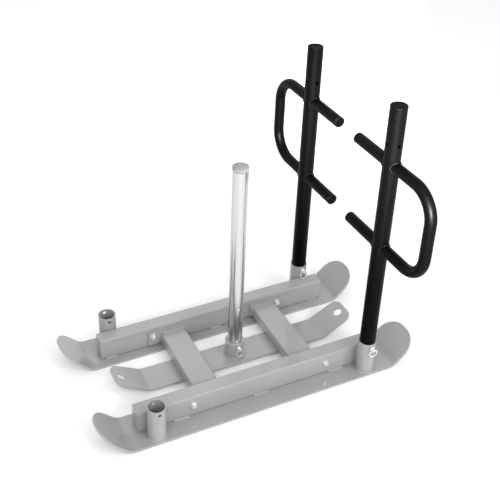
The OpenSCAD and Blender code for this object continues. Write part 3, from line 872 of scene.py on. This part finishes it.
class SLED_OT_frame(Operator):
    """Makes the beams with their end plates, the crossbars, the flanges and the sockets"""
    bl_idname = "sled.frame"
    bl_label = "Frame"

    def execute(self, context):
        for side in SIDES:
            painted("beam_" + side)
            for end in ENDS:
                for part in ("beam_cap", "flange", "socket"):
                    painted(f"{part}_{side}_{end}")
        for end in ENDS:
            painted("crossbar_" + end)
        painted("post_socket")
        return {"FINISHED"}


class SLED_OT_weight_post(Operator):
    """Makes the chromed post for weight plates and its grey cap"""
    bl_idname = "sled.weight_post"
    bl_label = "Weight Post"

    def execute(self, context):
        dressed_copy("weight_post", "chromed_weight_post", "post_chrome", sizes().fine_edge)
        dressed_copy("weight_post_cap", "moulded_weight_post_cap", "cap_plastic", sizes().edge)
        return {"FINISHED"}


class SLED_OT_uprights(Operator):
    """Makes the two uprights and the plugs in their tops"""
    bl_idname = "sled.uprights"
    bl_label = "Uprights"

    def execute(self, context):
        for side in SIDES:
            dressed_copy("upright_" + side, "painted_upright_" + side, "upright_paint", sizes().fine_edge)
            self.add_plug("upright_cap_" + side)
        return {"FINISHED"}

    def add_plug(self, node, clear=0.00005, step=0.0001):
        """Plug with a stem in the tube and a rounded rim round a shallow dish.
        Clear is the stem's gap, step the unit of its chamfer and of the rim's roundings."""
        size = sizes()
        low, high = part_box(node)
        place = middle(node)
        wide = (high.x - low.x) / 2
        stem = wide - size.upright_wall - clear
        lip = high.z - size.cap_lip
        inner = wide - size.cap_rim
        top = high.z
        profile = [(stem - 10 * step, low.z), (stem, low.z + 15 * step), (stem, lip), (wide, lip),
                   (wide, top - 16 * step), (wide - 5 * step, top - 6 * step), (wide - 16 * step, top),
                   (inner + 12 * step, top), (inner + 3 * step, top - 4 * step),
                   (inner - 6 * step, top - size.cap_dish), (inner * 0.4, top - size.cap_dish * 0.85)]
        shape = bmesh.new()
        skin(shape, [circle(radius, z) for radius, z in profile])
        bmesh.ops.translate(shape, vec=(place.x, place.y, 0), verts=shape.verts)
        softened("moulded_" + node, shape, "plug_plastic", size.fine_edge, [node], segments=2)


class SLED_OT_handles(Operator):
    """Bends the two D-shaped handles from tube and plugs their ends"""
    bl_idname = "sled.handles"
    bl_label = "Handles"

    def execute(self, context):
        size = sizes()
        tree = tube_tree()
        for side, sign in SIDES.items():
            node = "handle_" + side
            low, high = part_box(node)
            radius = (high.x - low.x) / 2
            x = (low.x + high.x) / 2
            inner = inner_face(node, sign)
            outer = outer_face(node, sign) - sign * radius
            corners = [(inner, high.z - radius), (outer, high.z - radius),
                       (outer, low.z + radius), (inner, low.z + radius)]
            name = "painted_" + node
            work = path_object(name, [([Vector((x, y, z)) for y, z in corners], False)], "upright_paint")
            tube = grown(work, tree, "upright_paint", {
                "Tube Radius": radius, "Bend Radius": size.handle_bend, "Sides": 72, "Bend Steps": 40})
            work = loose_object(name, shape_of(tube), "upright_paint")
            modify(work, "SOLIDIFY", thickness=size.handle_wall, offset=-1.0)
            soften(work, size.fine_edge, 3)
            piece(name, baked(work), [node])
            dressed_copy("handle_plugs_" + side, "moulded_handle_plugs_" + side, "plug_plastic",
                         size.fine_edge)
        return {"FINISHED"}


class SLED_OT_welds(Operator):
    """Lays the rippled weld beads"""
    bl_idname = "sled.welds"
    bl_label = "Welds"

    def execute(self, context):
        size = sizes()
        for seed, (side, sign) in enumerate(SIDES.items()):
            weld("weld_beam_" + side, self.stitches(side, sign), size.stitch_bead, "beam_welds_" + side,
                 seed)
            weld("weld_handle_" + side, self.saddles(side), size.handle_bead, "handle_welds_" + side,
                 10 + seed, "upright_paint", round_ends=False)
        weld("weld_socket_feet", self.feet(), size.small_bead, "socket_welds", 20)
        weld("weld_socket_seams", self.seams(), size.seam_bead, "socket_seams", 30)
        weld("weld_crossbars", self.crossbar_ends(), size.small_bead, "crossbar_welds", 40)
        ring = self.foot_arc("post_socket", 0, 360, ROUND)[:-1]
        weld("weld_post_socket", [(ring, True)], size.small_bead, "post_socket_weld", 50,
             round_ends=False)
        return {"FINISHED"}

    def foot_arc(self, node, start, stop, steps):
        """Round part of a socket's foot."""
        foot = middle(node)
        foot.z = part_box(node)[0].z
        return arc(foot, extent(node).x / 2, start, stop, steps)

    def stitches(self, side, sign):
        """Three stitches along each foot of a beam, where the CAD node has them."""
        beam = "beam_" + side
        paths = []
        for low, high in islands("beam_welds_" + side):
            outside = abs(low.y + high.y) / 2 > abs(middle(beam).y)
            y = outer_face(beam, sign) if outside else inner_face(beam, sign)
            ends = [Vector((low.x, y, low.z)), Vector((high.x, y, low.z))]
            paths.append((ends, False))
        return paths

    def saddles(self, side):
        """Where a handle's tube runs into its upright, four times."""
        low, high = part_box("handle_" + side)
        tube = (high.x - low.x) / 2
        upright = middle("upright_" + side)
        wall = extent("upright_" + side).x / 2
        paths = []
        for z in (low.z + tube, high.z - tube):
            for way in (-1, 1):
                points = []
                for spot in circle(tube, 0.0):
                    reach = sqrt(wall ** 2 - spot.x ** 2)
                    points.append(Vector((upright.x + spot.x, upright.y + way * reach, z + spot.y)))
                paths.append((points, True))
        return paths

    def feet(self):
        """Round the outboard half of each socket's foot."""
        paths = []
        for side, sign in SIDES.items():
            for end in ENDS:
                start = 0 if sign > 0 else 180
                paths.append((self.foot_arc(f"socket_{side}_{end}", start, start + 180, 64), False))
        return paths

    def seams(self):
        """Up the grooves between sockets and beams."""
        paths = []
        for low, high in islands("socket_seams"):
            spot = (low + high) / 2
            paths.append(([Vector((spot.x, spot.y, low.z)), Vector((spot.x, spot.y, high.z))], False))
        return paths

    def crossbar_ends(self, short=0.006, bend=0.004, corner=0.0012):
        """Along the top edge and the inner side of a crossbar's end, against its flange.
        Short is how far a bead stops from the crossbar's far edges, bend how long it takes to turn,
        corner how far the turn's middle lies inwards."""
        paths = []
        for end, way in ENDS.items():
            low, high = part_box("crossbar_" + end)
            inner_x, outer_x = (high.x, low.x) if way < 0 else (low.x, high.x)
            for y in (low.y, high.y):
                points = [Vector((outer_x - way * short, y, high.z)),
                          Vector((inner_x + way * bend, y, high.z)),
                          Vector((inner_x + way * corner, y, high.z - corner)),
                          Vector((inner_x, y, high.z - bend)),
                          Vector((inner_x, y, low.z + short))]
                paths.append((points, False))
        return paths


def islands(node):
    """Boxes of the separate solids in a CAD node."""
    shape = merged_copy(node)
    left = set(shape.verts)
    found = []
    while left:
        queue = [left.pop()]
        group = []
        while queue:
            vert = queue.pop()
            group.append(vert.co.copy())
            for edge in vert.link_edges:
                other = edge.other_vert(vert)
                if other in left:
                    left.remove(other)
                    queue.append(other)
        low = Vector([min(point[i] for point in group) for i in range(3)])
        high = Vector([max(point[i] for point in group) for i in range(3)])
        found.append((low, high))
    shape.free()
    return sorted(found, key=lambda box: tuple(round(value, 4) for value in box[0]))


# Depth of a bolt's thread, and where its crest and its root lie, as shares of the pitch
THREAD_DEPTH = 0.4
THREAD_CREST = 0.35
THREAD_ROOT = 0.85
# Radius of the flat face of a head or a nut as a share of its hexagon
HEXAGON_FACE = 0.46


def small_circle(radius, height):
    return circle(radius, height, SMALL_ROUND)


class SLED_OT_fasteners(Operator):
    """Makes the crossbars' bolts, nuts and washers"""
    bl_idname = "sled.fasteners"
    bl_label = "Fasteners"

    def execute(self, context):
        size = sizes()
        tree = fastener_tree()
        grip = abs(outer_face("beam_near", -1)) - abs(inner_face("flange_near_front", -1))
        below = -grip - size.washer_thickness
        self.spread(tree, "zinc_bolts", self.bolt(grip), "crossbar_bolts", 1)
        self.spread(tree, "zinc_nuts", self.nut(below), "crossbar_nuts", 2)
        self.spread(tree, "zinc_washers", self.washers(below), "crossbar_washers", 3)
        return {"FINISHED"}

    def spread(self, tree, name, part, node, seed):
        """Sets one fastener at each of the four bolt places."""
        size = sizes()
        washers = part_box("crossbar_washers")[1]
        x = washers.x - size.washer_diameter / 2
        z = middle("crossbar_washers").z
        y = abs(outer_face("beam_near", -1))
        points = bmesh.new()
        layer = points.verts.layers.float.new("side")
        for sign in SIDES.values():
            for end in ENDS.values():
                spot = points.verts.new((end * x, sign * y, z))
                spot[layer] = sign
        work = loose_object(name, points, "zinc")
        part_object = loose_object(name + "_one", part, "zinc")
        copies = grown(work, tree, "zinc", {"Part": part_object, "Turn": pi, "Seed": seed})
        bpy.data.objects.remove(part_object)
        softened(name, shape_of(copies), "zinc", size.fine_edge, [node], segments=2)

    def hexagon(self, height, drop=0.0):
        """Points round a hexagon. Drop lowers its corners, as a chamfered head's are."""
        flats = sizes().bolt_hexagon / 2
        points = []
        for i in range(SMALL_ROUND):
            turn = tau * i / SMALL_ROUND
            off = (turn % (pi / 3)) - pi / 6
            reach = flats / cos(off)
            past = (reach - flats) / (flats / cos(pi / 6) - flats)
            points.append(Vector((reach * cos(turn), reach * sin(turn), height - drop * past)))
        return points

    def bolt(self, grip, chamfer=0.0004, runout=0.0006, corner=0.0016):
        """Bolt with its head outside the beam's outer face, which is at height 0.
        Chamfer is the height of the one at its tip, runout the length from thread to shank,
        corner how much lower the head's corners are."""
        size = sizes()
        radius = size.bolt_diameter / 2
        pitch = size.thread_pitch
        core = radius - pitch * THREAD_DEPTH
        tip = -grip - size.washer_thickness - size.nut_height - size.bolt_end
        under = size.washer_thickness
        top = under + size.bolt_head
        rings = [small_circle(core * 0.8, tip), small_circle(core, tip + chamfer)]
        for i in range(int((size.nut_height + size.bolt_end) / pitch)):
            z = tip + 2 * chamfer + i * pitch
            rings += [small_circle(radius, z + pitch * THREAD_CREST),
                      small_circle(core, z + pitch * THREAD_ROOT)]
        rings += [small_circle(radius, rings[-1][0].z + runout), small_circle(radius, under)]
        rings += [self.hexagon(under), self.hexagon(top - chamfer / 2, corner),
                  small_circle(size.bolt_hexagon * HEXAGON_FACE, top)]
        made = bmesh.new()
        skin(made, rings)
        return made

    def nut(self, top, clear=0.0001, chamfer=0.0002, corner=0.0012):
        """Nut under the flange's washer. Clear is its thread's gap round the bolt."""
        size = sizes()
        hole = size.bolt_diameter / 2 + clear
        low = top - size.nut_height
        made = bmesh.new()
        skin(made, [small_circle(hole, low), small_circle(size.bolt_hexagon * HEXAGON_FACE, low),
                    self.hexagon(low + chamfer, -corner), self.hexagon(top), small_circle(hole, top)],
             closed=True)
        return made

    def washers(self, flange):
        """The two washers of one bolt: on the beam's outer face and on the flange."""
        size = sizes()
        made = bmesh.new()
        hole = size.bolt_diameter * 0.54
        rim = size.washer_diameter / 2
        for low in (0.0, flange):
            high = low + size.washer_thickness
            skin(made, [small_circle(hole, low), small_circle(rim, low), small_circle(rim, high),
                        small_circle(hole, high)], closed=True)
        return made


class SLED_OT_pins(Operator):
    """Makes the three pull pins, each on its own body"""
    bl_idname = "sled.pins"
    bl_label = "Pins"

    def execute(self, context):
        for place in PINS:
            dressed_copy("pin_" + place, "plated_pin_" + place, "zinc", sizes().fine_edge, "pin_" + place)
        return {"FINISHED"}


class SLED_OT_rings(Operator):
    """Winds the three split rings in the pins' eyes"""
    bl_idname = "sled.rings"
    bl_label = "Rings"

    def execute(self, context):
        tree = coil_tree()
        wire = sizes().ring_wire
        for place in PINS:
            node = "ring_" + place
            spread = extent(node)
            lean = asin(max(0.0, min(1.0, (spread.y - wire) / (spread.x - wire))))
            name = "plated_" + node
            work = path_object(name, [([Vector(), Vector((0, 0, 0.01))], False)], "zinc")
            ring = grown(work, tree, "zinc", {
                "Ring Radius": (spread.x - wire) / 2, "Wire Width": wire, "Wire Thickness": wire / 2,
                "Centre": middle(node), "Tilt": pi / 2 - lean})
            piece(name, ring, [node], "ring_" + place)
        return {"FINISHED"}


class SLED_PT_panel(Panel):
    """Lists the sled's sizes, colours and pieces"""
    bl_idname = "SLED_PT_panel"
    bl_label = "Push Sled"
    bl_space_type = "VIEW_3D"
    bl_region_type = "UI"
    bl_category = "Sled"

    def draw(self, context):
        for step in STEPS:
            self.layout.operator(step.bl_idname)
        for group in (context.scene.sled_sizes, context.scene.sled_colours, context.scene.sled_view):
            box = self.layout.box()
            for name in group.__annotations__:
                box.prop(group, name)


STEPS = (SLED_OT_stage, SLED_OT_skids, SLED_OT_pull_plate, SLED_OT_frame, SLED_OT_weight_post,
         SLED_OT_uprights, SLED_OT_handles, SLED_OT_welds, SLED_OT_fasteners, SLED_OT_pins, SLED_OT_rings)
GROUPS = {"sled_sizes": SledSizes, "sled_colours": SledColours, "sled_view": SledView}


def register():
    for group in GROUPS.values():
        bpy.utils.register_class(group)
    for name, group in GROUPS.items():
        setattr(bpy.types.Scene, name, bpy.props.PointerProperty(type=group))
    for step in STEPS:
        bpy.utils.register_class(step)
    bpy.utils.register_class(SLED_PT_panel)


def unregister():
    bpy.utils.unregister_class(SLED_PT_panel)
    for step in reversed(STEPS):
        bpy.utils.unregister_class(step)
    for name, group in GROUPS.items():
        delattr(bpy.types.Scene, name)
        bpy.utils.unregister_class(group)


def main():
    register()
    for step in STEPS:
        getattr(bpy.ops.sled, step.bl_idname.partition(".")[2])()


if __name__ == "__main__":
    main()
